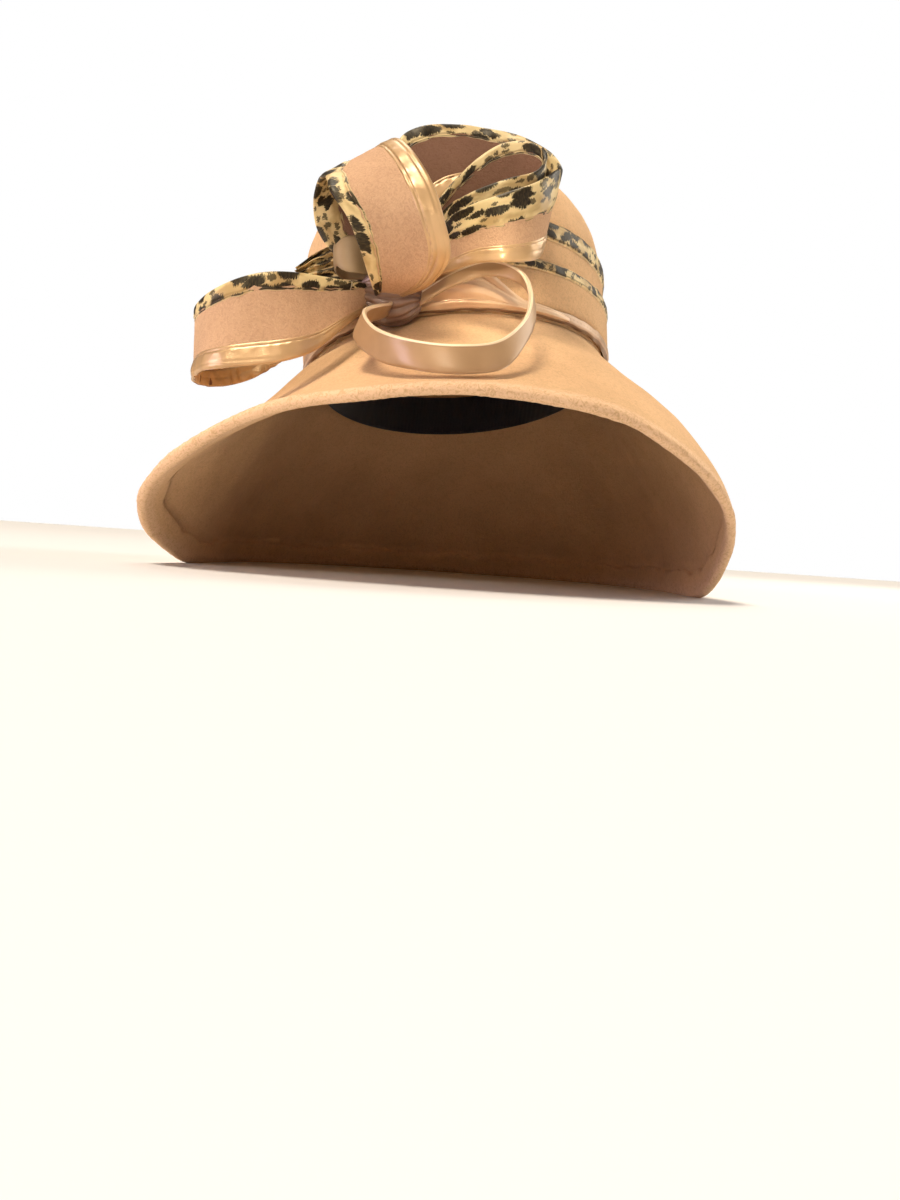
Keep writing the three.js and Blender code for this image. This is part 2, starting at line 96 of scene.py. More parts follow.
# Columns: the angle round the crown, the rim's outermost line in x, y and z, and the brim's bulge
RIM = np.array([
    (0, 2, -198, 85, -3),
    (14, 42, -193, 84, -2),
    (27, 78, -181, 79, 1),
    (40, 113, -160, 63.5, 4),
    (52, 137, -130, 46, 8),
    (61, 147.5, -98, 28.5, 11),
    (70, 148.5, -66, 9.5, 12),
    (81, 147, -37, 1, 12),
    (95, 144, 8, 0, 11),
    (115, 137, 66, 0, 10),
    (145, 93, 136, 0, 8),
    (180, 0, 172, 0, 6),
    (215, -91, 138, 0, 5),
    (245, -136, 68, 0, 4),
    (266, -142, 6, 0, 3),
    (280, -145, -38, 1, 2),
    (290, -150, -66, 7.5, 0),
    (299, -154.5, -96, 20, -3),
    (308, -147, -127, 36, -5),
    (318, -123, -157, 53, -6),
    (331, -83, -181, 72, -6),
    (346, -41, -194, 80, -5),
], float)

# Columns: foot and top above the joint, outside of the wall at the inner and the outer face
BANDS = {
    "upper_band_leopard": (43.3, 54, 0.3, 3.0),
    "upper_band_felt": (21, 44.5, 0.3, 2.1),
    "lower_band_leopard": (24.3, 30.5, 1.9, 4.6),
    "lower_band_felt": (5.3, 25.5, 1.9, 4.1),
    "lower_band_satin": (0.2, 6, 1.9, 4.6),
}
BAND_OUTSIDE = 4.6
SWEATBAND = (-7, 19, -2 * (FELT + GAP) - 0.8, -2 * (FELT + GAP))

# Columns: angle, top edge above the joint and how far the satin stands off
DRAPE = np.array([
    (-17, 17, 3.5),
    (-8, 24, 4),
    (4, 25, 4),
    (16, 20, 3.5),
    (28, 13, 2.6),
    (40, 7.5, 1.6),
], float)

# How far each fold of the drape rises, from the lowest, and the height that its end comes down to
FOLD_RISES = (0.62, 1.45, 0.95)
DRAPE_END_TOP = 6.2

KNOT_CENTRE = np.array([-34, -110.5, 140])
KNOT_HALF = np.array([19, 13.5, 16])

# Columns: the strip's leopard edge in x, y and z, and its satin edge in x, y and z
LEFT_LOOP = np.array([
    (-44, -113, 145, -45, -115, 133),
    (-55, -126, 143, -56, -133, 117),
    (-65, -136, 142, -67, -142, 105),
    (-77, -144, 141, -79, -148, 99),
    (-90, -148, 139, -93, -149, 96),
    (-103, -148, 135, -107, -148, 94),
    (-115, -143, 130, -118, -141, 93),
    (-124, -130, 127, -125, -127, 91),
    (-128, -111, 128, -126, -108, 91),
    (-126, -92, 134, -118, -88, 94),
    (-115, -77, 142, -106, -75, 101),
    (-97, -73, 147, -92, -77, 110),
    (-76, -86, 147, -74, -90, 121),
    (-52, -103, 145, -52, -105, 134),
], float)
CENTRE_LOOP = np.array([
    (-41, -117, 138, -30, -117, 138),
    (-43, -136, 143, -12, -133, 144),
    (-47, -147, 153, -5, -144, 153),
    (-53, -154, 165, -9, -152, 168),
    (-61, -154, 175, -14, -151, 181),
    (-64, -146, 183, -22, -145, 195),
    (-68, -134, 189, -31, -131, 208),
    (-73, -118, 191, -38, -114, 213),
    (-76, -105, 186, -42, -102, 205),
    (-74, -101, 174, -42, -97, 190),
    (-64, -103, 161, -42, -99, 171),
    (-50, -106, 151, -39, -106, 154),
], float)
BACK_LOOP = np.array([
    (-28, -109, 159, -21, -109.5, 148),
    (-33, -105, 179, -19, -107, 163),
    (-38, -99, 206, -19, -103, 179),
    (-35, -94, 224, -13, -102, 190),
    (-24, -90, 232, -5, -101, 196),
    (-7, -87, 235, 5, -100, 199),
    (10, -86, 234, 17, -100, 197),
    (26, -89, 230, 29, -101, 192),
    (40, -97, 221, 36, -105, 178),
    (46, -109, 209, 38, -114, 167),
    (42, -122, 203, 36, -123, 160),
    (31, -134, 192, 30, -132, 156),
    (17, -138, 185, 20, -136, 154),
    (2, -134, 180, 8, -132, 154),
    (-11, -126, 173, -3, -124, 152),
    (-23, -119, 157, -20, -119, 146),
], float)
INNER_LOOP = np.array([
    (-24, -112.5, 159, -20, -112.5, 149),
    (-14, -111, 188, -11, -112, 160),
    (-4, -107, 203, 0, -110, 171),
    (5, -105, 213, 8, -110, 179),
    (16, -103, 221, 18, -109, 185),
    (28, -103, 223, 28, -109, 188),
    (36, -107, 219, 34, -112, 185),
    (37, -114, 210, 35, -116, 179),
    (32, -121, 202, 32, -122, 172),
    (19, -126, 196, 21, -126, 166),
    (2, -124, 189, 7, -123, 161),
    (-10, -119, 182, -5, -118, 157),
    (-22, -115.8, 159, -19, -115.8, 149),
], float)

# Columns: upper edge in x, y and z, and lower edge in x, y and z
RING_LOOP = np.array([
    (-30, -121, 135, -32, -121, 127),
    (-36, -136, 131, -42, -139, 121),
    (-42, -153, 124, -47, -154, 111),
    (-36, -169, 114, -34, -169, 99),
    (-20, -182, 107, -17, -184, 93.5),
    (0, -187, 105, 3, -189, 92),
    (17, -183, 108, 21, -185, 96),
    (29, -168, 121, 32, -169, 112),
    (32, -149, 138, 35, -150, 129),
    (26, -132, 153, 28, -133, 145),
    (12, -123, 158, 13, -124, 150),
    (-3, -119, 153, -4, -120, 145),
    (-18, -117, 143, -19, -117, 135),
], float)
SMALL_LOOP = np.array([
    (-38, -114, 155, -41, -115, 148),
    (-52, -124, 165, -50, -125, 147),
    (-60, -123, 165, -58, -124, 146),
    (-63, -117, 165, -61, -118, 146),
    (-59, -110, 163, -57, -111, 147),
    (-45, -110, 157, -46, -110, 148),
], float)
TUFT = np.array([
    (-42, -101, 156, -43, -101, 148),
    (-61, -92, 169, -61, -92, 151),
    (-74, -89, 165, -74, -88, 150),
    (-85, -86, 157, -86, -85, 151),
], float)


# Colours of fibres, threads and wear in the cloths, and of their painted shade and highlights, as
# red, green and blue
FELT_HOLLOW_SHADE = (0.25, 0.12, 0.06)
FELT_TIP = (0.9, 0.66, 0.42)
FELT_RUBBED = (0.88, 0.62, 0.42)
TUBE_RIM_HIGHLIGHT = (0.95, 0.76, 0.5)
SATIN_SEAM = (0.13, 0.055, 0.025)
SATIN_STITCH = (0.2, 0.1, 0.05)
LEOPARD_CREAM = (0.76, 0.59, 0.29)
LEOPARD_GOLD = (0.48, 0.32, 0.13)
LEOPARD_STREAK = (0.36, 0.24, 0.1)
LEOPARD_BLACK = (0.01, 0.006, 0.003)
LEOPARD_BROWN = (0.05, 0.034, 0.014)
LEOPARD_PIPING_HIGHLIGHT = (0.8, 0.62, 0.36)
LEOPARD_GROOVE_SHADE = (0.06, 0.035, 0.015)
LEOPARD_JOIN = (0.85, 0.72, 0.5)
RIBBON_DARK = (0.008, 0.008, 0.012)
RIBBON_LIGHT = (0.03, 0.028, 0.036)

# How far the cloths' relief reaches, in metres
CLOTH_RELIEF = 0.0012
RIBBON_RELIEF = 0.0005


def look(place, target):
    """Rotation of a camera or light at a place that looks at a target"""
    return (Vector(target) - Vector(place)).to_track_quat("-Z", "Y").to_euler()


def add_object(name, data):
    made = bpy.data.objects.new(name, data)
    bpy.context.scene.collection.objects.link(made)
    return made


# Camera at the photograph's place, in millimetres, pitched down and rolled
CAMERA_AT = np.array([5.5, -650, 18.5]) + ORIGIN
PITCH = 2.76
ROLL = 3.9
camera = add_object("camera", bpy.data.cameras.new("camera"))
camera.data.sensor_fit = "AUTO"
camera.data.sensor_width = 36
camera.data.lens = 32.34
camera.data.clip_start = 0.01
camera.matrix_world = (
    Matrix.Translation(Vector(CAMERA_AT * MM))
    @ Matrix.Rotation(math.radians(90 - PITCH), 4, "X")
    @ Matrix.Rotation(math.radians(ROLL), 4, "Z")
)
bpy.context.scene.camera = camera


def node(tree, kind, values=None, **settings):
    """Node with its inputs set to values or linked to other nodes' outputs"""
    made = tree.nodes.new(kind)
    for key, value in settings.items():
        setattr(made, key, value)
    for key, value in (values or {}).items():
        if isinstance(value, bpy.types.NodeSocket):
            tree.links.new(value, made.inputs[key])
        else:
            made.inputs[key].default_value = value
    return made


def new_material(name):
    material = bpy.data.materials.new(name)
    material.use_nodes = True
    material.node_tree.nodes.clear()
    return material, material.node_tree


def finish_material(tree, shader):
    out = tree.nodes.new("ShaderNodeOutputMaterial")
    tree.links.new(shader.outputs[0], out.inputs["Surface"])


def math_node(tree, operation, a, b=0.0):
    return node(tree, "ShaderNodeMath", {0: a, 1: b}, operation=operation).outputs[0]


def times(tree, a, b):
    return math_node(tree, "MULTIPLY", a, b)


def part(tree, vector, index):
    return node(tree, "ShaderNodeSeparateXYZ", {"Vector": vector}).outputs[index]


def strip_place(tree):
    """Place on the strip, which make_piece keeps in each mesh"""
    return node(tree, "ShaderNodeAttribute", attribute_name="strip").outputs["Vector"]


def mix_colour(tree, factor, a, b, blend="MIX"):
    made = node(tree, "ShaderNodeMix", data_type="RGBA", blend_type=blend)
    for index, value in ((0, factor), (6, a), (7, b)):
        if isinstance(value, bpy.types.NodeSocket):
            tree.links.new(value, made.inputs[index])
        elif index:
            made.inputs[index].default_value = (*value, 1)
        else:
            made.inputs[index].default_value = value
    return made.outputs[2]


def step(tree, value, low, high):
    """0 below low and 1 above high, smooth between. Turned round where low is above high."""
    made = node(tree, "ShaderNodeMapRange", {0: value, 1: min(low, high), 2: max(low, high)},
                interpolation_type="SMOOTHSTEP")
    made.inputs[3].default_value, made.inputs[4].default_value = (0, 1) if low < high else (1, 0)
    return made.outputs[0]


def noise(tree, vector, scale, detail, roughness=0.5):
    return node(tree, "ShaderNodeTexNoise",
                {"Vector": vector, "Scale": scale, "Detail": detail, "Roughness": roughness})


def scaled(tree, vector, factors):
    return node(tree, "ShaderNodeMapping", {"Vector": vector, "Scale": factors}).outputs[0]


def felt_material(name, dark, light, nap, inner=None):
    """Wool felt: clumps of curled fibres a few millimetres across, with single fibres over them.

    inner is the tint of the side that a loop turns inwards, a painted shade that darkens the inside of the
    loops."""
    material, tree = new_material(name)
    place = node(tree, "ShaderNodeTexCoord").outputs["Object"]
    clouds = noise(tree, place, 28, 3).outputs[0]
    curls = noise(tree, place, 380, 3, 0.6)
    curls.inputs["Distortion"].default_value = 2.2
    fibres = noise(tree, place, 1500, 3, 0.6).outputs[0]
    colour = mix_colour(tree, step(tree, clouds, 0.15, 0.85), dark, light)
    # Painted shade: the hollows between the curls, low in the bump, are darkened
    hollow_shade = times(tree, step(tree, curls.outputs[0], 0.56, 0.36), 0.34 * nap)
    colour = mix_colour(tree, hollow_shade, colour, FELT_HOLLOW_SHADE)
    tips = times(tree, step(tree, fibres, 0.52, 0.72), 0.22)
    colour = mix_colour(tree, tips, colour, FELT_TIP)
    rubbed = node(tree, "ShaderNodeAttribute", attribute_name="rubbed").outputs["Fac"]
    rubbed = times(tree, rubbed, step(tree, curls.outputs[0], 0.3, 0.6))
    colour = mix_colour(tree, times(tree, rubbed, 0.45), colour, FELT_RUBBED)
    # Painted shade: the side that a loop turns inwards is multiplied by the inner tint
    if inner:
        side = part(tree, strip_place(tree), 2)
        colour = mix_colour(tree, step(tree, side, 0.001, -0.001), colour, inner, "MULTIPLY")
    height = math_node(tree, "ADD", times(tree, curls.outputs[0], 0.8), times(tree, fibres, 0.2))
    normal = bumpy(tree, height, 0.7 * nap)
    shader = node(tree, "ShaderNodeBsdfPrincipled", {
        "Base Color": colour, "Roughness": 0.95, "Specular IOR Level": 0.12, "Sheen Weight": 0.14,
        "Sheen Roughness": 0.5, "Sheen Tint": (1, 0.8, 0.58, 1), "Normal": normal})
    finish_material(tree, shader)
    return material


def seam_distance(tree, strip):
    """Distance from the seam along the felt, in metres"""
    side = math_node(tree, "ABSOLUTE", part(tree, strip, 2))
    return math_node(tree, "SUBTRACT", side, SIDE_MARK * MM)


def stripe(tree, value, middle, half):
    """1 within half of the middle, both in millimetres, and 0 beyond, with a soft edge"""
    away = math_node(tree, "ABSOLUTE", math_node(tree, "SUBTRACT", value, middle * MM))
    return step(tree, away, half * MM * 1.3, half * MM * 0.7)


def satin_height(tree, strip):
    """Threads of the weave and small puckers that run across the strip"""
    threads = noise(tree, scaled(tree, strip, (5200, 900, 900)), 1, 2).outputs[0]
    puckers = noise(tree, scaled(tree, strip, (150, 30, 60)), 1, 3, 0.45).outputs[0]
    return math_node(tree, "ADD", times(tree, threads, 0.05), puckers)


def bumpy(tree, height, strength, distance=CLOTH_RELIEF):
    """Normal of a surface with a height that reaches some distance in metres"""
    values = {"Height": height, "Strength": strength, "Distance": distance}
    return node(tree, "ShaderNodeBump", values).outputs[0]


def satin_material(name, dark, light, roughness, puckers, rim=False, coat=0.32, metal=0.22):
    """Satin with a dark line along its seam and faint stitches, or a painted highlight on a tube's rim"""
    material, tree = new_material(name)
    strip = strip_place(tree)
    place = node(tree, "ShaderNodeTexCoord").outputs["Object"]
    clouds = noise(tree, place, 45, 3).outputs[0]
    colour = mix_colour(tree, step(tree, clouds, 0.3, 0.7), dark, light)
    seam = seam_distance(tree, strip)
    if rim:
        # Painted highlight: a pale line along the rim of the tube
        pale = times(tree, stripe(tree, seam, 0.7, 0.7), 0.85)
        colour = mix_colour(tree, pale, colour, TUBE_RIM_HIGHLIGHT)
    else:
        line = times(tree, stripe(tree, seam, 0.1, 0.4), 0.75)
        colour = mix_colour(tree, line, colour, SATIN_SEAM)
        dashes = math_node(tree, "SINE", times(tree, part(tree, strip, 0), 1900))
        dashes = step(tree, dashes, -0.5, 0.3)
        stitches = times(tree, stripe(tree, seam, 2.7, 0.25), dashes)
        colour = mix_colour(tree, times(tree, stitches, 0.22), colour, SATIN_STITCH)
    normal = bumpy(tree, satin_height(tree, strip), puckers)
    shader = node(tree, "ShaderNodeBsdfPrincipled", {
        "Base Color": colour, "Roughness": roughness, "Metallic": metal, "Specular IOR Level": 0.5,
        "Specular Tint": (1, 0.9, 0.7, 1), "Coat Weight": coat, "Coat Roughness": 0.28, "Coat IOR": 1.8,
        "Normal": normal})
    finish_material(tree, shader)
    return material


def leopard_material(name, along, across, roughness, puckers):
    """Printed satin: dark blots with feathered edges, some millimetres apart, on a cream to gold ground"""
    material, tree = new_material(name)
    strip = strip_place(tree)
    hairs = noise(tree, scaled(tree, strip, (1600, 260, 260)), 1, 3, 0.65).outputs[0]
    bend = noise(tree, scaled(tree, strip, (90, 110, 90)), 1, 2).outputs[1]
    halves = (0.5, 0.5, 0.5)
    bend = node(tree, "ShaderNodeVectorMath", {0: bend, 1: halves}, operation="SUBTRACT").outputs[0]
    bend = node(tree, "ShaderNodeVectorMath", {0: bend, 3: 0.007}, operation="SCALE").outputs[0]
    brush = times(tree, math_node(tree, "SUBTRACT", hairs, 0.5), 0.0055)
    brush = node(tree, "ShaderNodeCombineXYZ", {"Y": brush}).outputs[0]
    moved = node(tree, "ShaderNodeVectorMath", {0: strip, 1: bend}, operation="ADD").outputs[0]
    moved = node(tree, "ShaderNodeVectorMath", {0: moved, 1: brush}, operation="ADD").outputs[0]

    def blots(share, low, high, least):
        """Blots in cells that are a share of the full spacing. A cell under least has none."""
        factors = (1000 / (share * along), 1000 / (share * across), 1)
        cell = node(tree, "ShaderNodeTexVoronoi",
                    {"Vector": scaled(tree, moved, factors), "Scale": 1.0, "Randomness": 0.85},
                    voronoi_dimensions="2D")
        chance = node(tree, "ShaderNodeSeparateColor", {"Color": cell.outputs["Color"]}).outputs[0]
        grown = math_node(tree, "ADD", low, times(tree, chance, high - low))
        spread = math_node(tree, "SUBTRACT", grown, cell.outputs["Distance"])
        return times(tree, step(tree, spread, -0.04, 0.05), step(tree, chance, least, least + 0.02))

    large = blots(1.0, 0.3, 0.49, 0.1)
    small = blots(0.47, 0.1, 0.42, 0.6)
    dark = math_node(tree, "MAXIMUM", large, times(tree, small, 0.85))
    warm = noise(tree, scaled(tree, strip, (60, 70, 60)), 1, 3).outputs[0]
    ground = mix_colour(tree, step(tree, warm, 0.42, 0.64), LEOPARD_CREAM, LEOPARD_GOLD)
    streaks = times(tree, step(tree, hairs, 0.58, 0.74), 0.3)
    ground = mix_colour(tree, streaks, ground, LEOPARD_STREAK)
    ink = mix_colour(tree, step(tree, hairs, 0.4, 0.68), LEOPARD_BLACK, LEOPARD_BROWN)
    colour = mix_colour(tree, dark, ground, ink)
    seam = seam_distance(tree, strip)
    # Painted highlight on the piping beside the seam, and painted shade in the groove next to it
    piping_highlight = times(tree, stripe(tree, seam, 0.35, 0.4), 0.75)
    colour = mix_colour(tree, piping_highlight, colour, LEOPARD_PIPING_HIGHLIGHT)
    groove_shade = times(tree, stripe(tree, seam, 1.35, 0.3), 0.5)
    colour = mix_colour(tree, groove_shade, colour, LEOPARD_GROOVE_SHADE)
    join = stripe(tree, part(tree, strip, 0), JOIN_AT, 0.35)
    colour = mix_colour(tree, times(tree, join, 0.7), colour, LEOPARD_JOIN)
    normal = bumpy(tree, satin_height(tree, strip), puckers)
    shader = node(tree, "ShaderNodeBsdfPrincipled", {
        "Base Color": colour, "Roughness": roughness, "Specular IOR Level": 0.4,
        "Specular Tint": (1, 0.92, 0.7, 1), "Normal": normal})
    finish_material(tree, shader)
    return material


def ribbon_material():
    """Grosgrain with fine ribs across it"""
    material, tree = new_material("grosgrain")
    strip = strip_place(tree)
    ribs = node(tree, "ShaderNodeTexWave", {"Vector": strip, "Scale": 260, "Distortion": 0.3},
                bands_direction="X").outputs[1]
    fuzz = noise(tree, scaled(tree, strip, (900, 900, 900)), 1, 3).outputs[0]
    colour = mix_colour(tree, fuzz, RIBBON_DARK, RIBBON_LIGHT)
    normal = bumpy(tree, ribs, 0.6, RIBBON_RELIEF)
    shader = node(tree, "ShaderNodeBsdfPrincipled", {
        "Base Color": colour, "Roughness": 0.62, "Specular IOR Level": 0.35, "Sheen Weight": 0.3,
        "Sheen Roughness": 0.4, "Normal": normal})
    finish_material(tree, shader)
    return material


def floor_material():
    material, tree = new_material("pale_floor")
    values = {"Base Color": (0.82, 0.815, 0.805, 1), "Roughness": 0.9}
    finish_material(tree, node(tree, "ShaderNodeBsdfPrincipled", values))
    return material


def backdrop_material():
    material, tree = new_material("pale_backdrop")
    values = {"Color": (1, 1, 1, 1), "Strength": 1.0}
    finish_material(tree, node(tree, "ShaderNodeEmission", values))
    return material


# Felt has its darker and lighter colour and its nap, satin its two colours, roughness and puckers, and
# the leopard print the spacing of its blots along and across in millimetres, roughness and puckers
MATERIALS = {
    "felt": felt_material("camel_felt", (0.66, 0.41, 0.21), (0.78, 0.495, 0.26), 0.6),
    # The bow's felt has painted shade on the side that each loop turns inwards
    "loop_felt": felt_material("bow_felt", (0.53, 0.325, 0.19), (0.64, 0.4, 0.235), 0.65,
                               inner=(0.36, 0.3, 0.31)),
    "satin": satin_material("tan_satin", (0.44, 0.265, 0.12), (0.64, 0.41, 0.195), 0.33, 0.3,
                            coat=0.36, metal=0.3),
    "tube": satin_material("tube_satin", (0.38, 0.225, 0.105), (0.47, 0.285, 0.14), 0.45, 0.06, rim=True),
    # The drape's satin is a lighter copy of the tan satin: painted light on the drape, which lies in shade
    # behind the ring
    "smooth": satin_material("drape_satin_painted_light", (0.7, 0.46, 0.28), (0.86, 0.62, 0.4), 0.34, 0.08,
                             coat=0.3),
    # The small loop, the other end of the ring's tube, has a darker, more olive copy of its satin as painted
    # shade
    "shaded_tube": satin_material("tube_satin_painted_shade", (0.3, 0.2, 0.1), (0.4, 0.28, 0.15), 0.6, 0.05, coat=0.1),
    "binding": satin_material("binding_satin", (0.52, 0.33, 0.2), (0.66, 0.45, 0.28), 0.45, 0.05,
                              coat=0.15),
    # The knot's satin is a darker copy of the satin: painted shade under the loops and the ring
    "knot": satin_material("gathered_satin_painted_shade", (0.16, 0.095, 0.07), (0.36, 0.225, 0.165), 0.4, 0.4),
    "leopard": leopard_material("leopard_satin", 12, 7.8, 0.4, 0.3),
    "band_leopard": leopard_material("band_leopard_satin", 9, 5.4, 0.5, 0.12),
    "ribbon": ribbon_material(),
}


def add_light(name, kind, place, target, energy, colour, **settings):
    """Light at a place in metres, turned to a target"""
    data = bpy.data.lights.new(name, kind)
    data.energy = energy
    data.color = colour
    for key, value in settings.items():
        setattr(data, key, value)
    lamp = add_object(name, data)
    lamp.location = place
    lamp.rotation_euler = look(place, target)


def area_light(name, place, target, size, watts, colour):
    add_light(name, "AREA", place, target, watts, colour, shape="RECTANGLE", size=size[0], size_y=size[1])


def sun_light(name, toward, spread, strength, colour):
    """Even light from a direction, with shadows as soft as its spread in degrees makes them"""
    add_light(name, "SUN", toward, (0, 0, 0), strength, colour, angle=math.radians(spread))


def spot_light(name, place, target, half_angle, radius, watts, colour):
    """Narrow light. half_angle is in degrees, and the radius of its lamp makes its shadows soft."""
    add_light(name, "SPOT", place, target, watts, colour, spot_size=math.radians(2 * half_angle),
              spot_blend=1, shadow_soft_size=radius)


# The light comes from above in front, with a window at the right and faint fills, and two narrow lights
# make the glints of the satin. Places are in metres.
sun_light("key", (-0.3, -0.38, 1.0), 20, 3.1, (1, 0.87, 0.72))
sun_light("behind", (-0.1, 0.5, 1.0), 25, 0.6, (1, 0.93, 0.82))
area_light("window", (1.3, 0.5, 0.9), (0.03, 0.02, 0.15), (0.8, 1.2), 13, (1, 0.95, 0.88))
area_light("front", (-0.3, -1.5, 0.6), (0, -0.1, 0.12), (0.5, 0.5), 1.6, (1, 0.87, 0.68))
area_light("front_right", (1.0, -1.1, 0.6), (0, -0.1, 0.12), (0.6, 0.6), 0.9, (0.84, 0.78, 1))
spot_light("loop_glint", (-0.45, -1.1, 0.5), (-0.098, -0.135, 0.118), 3.2, 0.12, 75, (1, 0.88, 0.7))
spot_light("drape_glint", (0.04, -0.7, 0.22), (0.018, -0.105, 0.141), 2.0, 0.03, 34, (1, 0.9, 0.7))
area_light("low_left", (-1.2, -0.7, 0.2), (-0.05, -0.05, 0.08), (0.5, 0.4), 5, (0.9, 0.76, 1))
world = bpy.data.worlds.new("studio")
world.use_nodes = True
world.node_tree.nodes["Background"].inputs[0].default_value = (1, 0.96, 0.93, 1)
world.node_tree.nodes["Background"].inputs[1].default_value = 0.14
bpy.context.scene.world = world
bpy.context.scene.view_settings.view_transform = "Standard"


def add_stage(name, points, faces, material):
    data = bpy.data.meshes.new(name)
    data.from_pydata(points, [], faces)
    data.materials.append(material)
    made = add_object(name, data)
    return made


# Floor and backdrop, in metres
FLOOR_HALF = 6
WALL_RADIUS = 8
WALL_HEIGHTS = (-1, 8)
WALL_SIDES = 48
corners = [(x * FLOOR_HALF, y * FLOOR_HALF, 0) for x, y in ((-1, -1), (1, -1), (1, 1), (-1, 1))]
add_stage("floor", corners, [(0, 1, 2, 3)], floor_material())
turns = [2 * math.pi * k / WALL_SIDES for k in range(WALL_SIDES)]
wall_points = [(WALL_RADIUS * math.cos(a), WALL_RADIUS * math.sin(a), z) for z in WALL_HEIGHTS for a in turns]
wall_faces = [(k, (k + 1) % WALL_SIDES, WALL_SIDES + (k + 1) % WALL_SIDES, WALL_SIDES + k)
              for k in range(WALL_SIDES)]
wall_faces.append(tuple(range(WALL_SIDES, 2 * WALL_SIDES)))
backdrop = add_stage("backdrop", wall_points, wall_faces, backdrop_material())
# The backdrop is seen behind the hat and lights nothing
backdrop.visible_diffuse = False
backdrop.visible_glossy = False
backdrop.visible_transmission = False
backdrop.visible_shadow = False


def waves(points, length, seed):
    """Smooth uneven field, about -1 to 1, with bumps some length across. A seed gives one field."""
    count = 7
    random = np.random.default_rng(seed)
    ways = random.normal(size=(count, 3))
    ways /= np.linalg.norm(ways, axis=1, keepdims=True)
    ways *= (2 * np.pi / length * random.uniform(0.6, 1.4, count))[:, None]
    return np.sin(points @ ways.T + random.uniform(0, 2 * np.pi, count)).sum(-1) / math.sqrt(count)


def unit(vectors):
    return vectors / np.linalg.norm(vectors, axis=-1, keepdims=True)


def make_piece(name, points, faces, strip, material, cad_node):
    """One piece of the hat from points in millimetres and their place on the strip"""
    data = bpy.data.meshes.new(name)
    data.from_pydata(((points + ORIGIN) * MM).tolist(), [], faces)
    attribute = data.attributes.new("strip", "FLOAT_VECTOR", "POINT")
    attribute.data.foreach_set("vector", (np.asarray(strip, np.float32) * MM).ravel())
    data.polygons.foreach_set("use_smooth", np.ones(len(data.polygons), bool))
    data.materials.append(MATERIALS[material])
    data.update()
    piece = add_object(name, data)
    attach(piece, "root")
    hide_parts(cad_node)
    return piece


def sweep(name, sections, strip, closed, material, cad_node):
    """Body through sections, each a closed outline, with a cap on each end unless the row of them closes"""
    count, size = sections.shape[:2]
    index = np.arange(count * size).reshape(count, size)
    after = np.roll(index, -1, 0) if closed else index[1:]
    before = index if closed else index[:-1]
    quads = np.stack([before, np.roll(before, -1, 1), np.roll(after, -1, 1), after], -1).reshape(-1, 4)
    points = sections.reshape(-1, 3)
    a, b, c, d = (points[quads[:, k]] for k in range(4))
    normal = np.cross(c - a, d - b)
    outward = ((a + b + c + d) / 4 * normal).sum()
    faces = quads.tolist()
    if not closed:
        for edge in (index[0][::-1], index[-1]):
            faces.append(edge.tolist())
            ring = points[edge]
            outward += (ring.mean(0) * np.cross(ring, np.roll(ring, -1, 0)).sum(0)).sum()
    if outward < 0:
        faces = [face[::-1] for face in faces]
    return make_piece(name, points, faces, strip.reshape(-1, 3), material, cad_node)


def marked(side, from_seam):
    """Third part of a place on a strip: the side that it is on, with its distance from the felt's seam"""
    return side * (SIDE_MARK + from_seam)


def rotation(axis, degrees):
    return np.array(Matrix.Rotation(math.radians(degrees), 3, axis))


LEANED = rotation("X", -LEAN_BACK) @ rotation("Y", -LEAN_SIDE)
CROWN_UP = LEANED @ np.array([0, 0, 1])


def lean(points):
    return points @ LEANED.T + np.array([0, 0, JOINT_HEIGHT])


def wall_point(angle, height, outset):
    """Point of the crown's wall at an angle from the front, a height above the joint and an outset"""
    angle, height, outset = np.broadcast_arrays(np.radians(angle), height, outset)
    flare = FLARE * np.clip(height / SHOULDER, 0, 1) + outset
    return lean(np.stack([(HALF_WIDTH + flare) * np.sin(angle), -(HALF_DEPTH + flare) * np.cos(angle),
                          height * np.ones_like(flare)], -1))


def dome_point(angle, turn, outset):
    """Point of the dome, with turn going from 0 at the shoulder to 90 at the top"""
    a, t = np.broadcast_arrays(np.radians(angle), np.radians(turn))
    wide = FLARE + outset
    return lean(np.stack([(HALF_WIDTH + wide) * np.sin(a) * np.cos(t),
                          -(HALF_DEPTH + wide) * np.cos(a) * np.cos(t),
                          SHOULDER + (DOME_RISE + outset) * np.sin(t)], -1))


def smooth_between(start, start_slope, end, end_slope, t):
    """Cubic between two values with two slopes, at t from 0 to 1"""
    return (start * (2 * t**3 - 3 * t**2 + 1) + start_slope * (t**3 - 2 * t**2 + t)
            + end * (3 * t**2 - 2 * t**3) + end_slope * (t**3 - t**2))


def around(column, angle):
    """Value of a column of RIM at an angle, on a smooth curve that closes on itself"""
    at = np.concatenate([RIM[:, 0] - 360, RIM[:, 0], RIM[:, 0] + 360])
    value = np.tile(RIM[:, column], 3)
    slope = np.gradient(value, at)
    slope[1:-1] = (value[2:] - value[:-2]) / (at[2:] - at[:-2])
    angle = np.asarray(angle, float) % 360
    n = np.searchsorted(at, angle, side="right") - 1
    w = at[n + 1] - at[n]
    t = (angle - at[n]) / w
    return smooth_between(value[n], slope[n] * w, value[n + 1], slope[n + 1] * w, t)


def crown_rings(angle, outset):
    """Rings of the crown from its foot to its top"""
    rings = [wall_point(angle, height, outset) for height in np.linspace(GAP, SHOULDER, 14)[:-1]]
    rings += [dome_point(angle, turn, outset) for turn in np.linspace(0, 89.2, 46)]
    return np.array(rings)


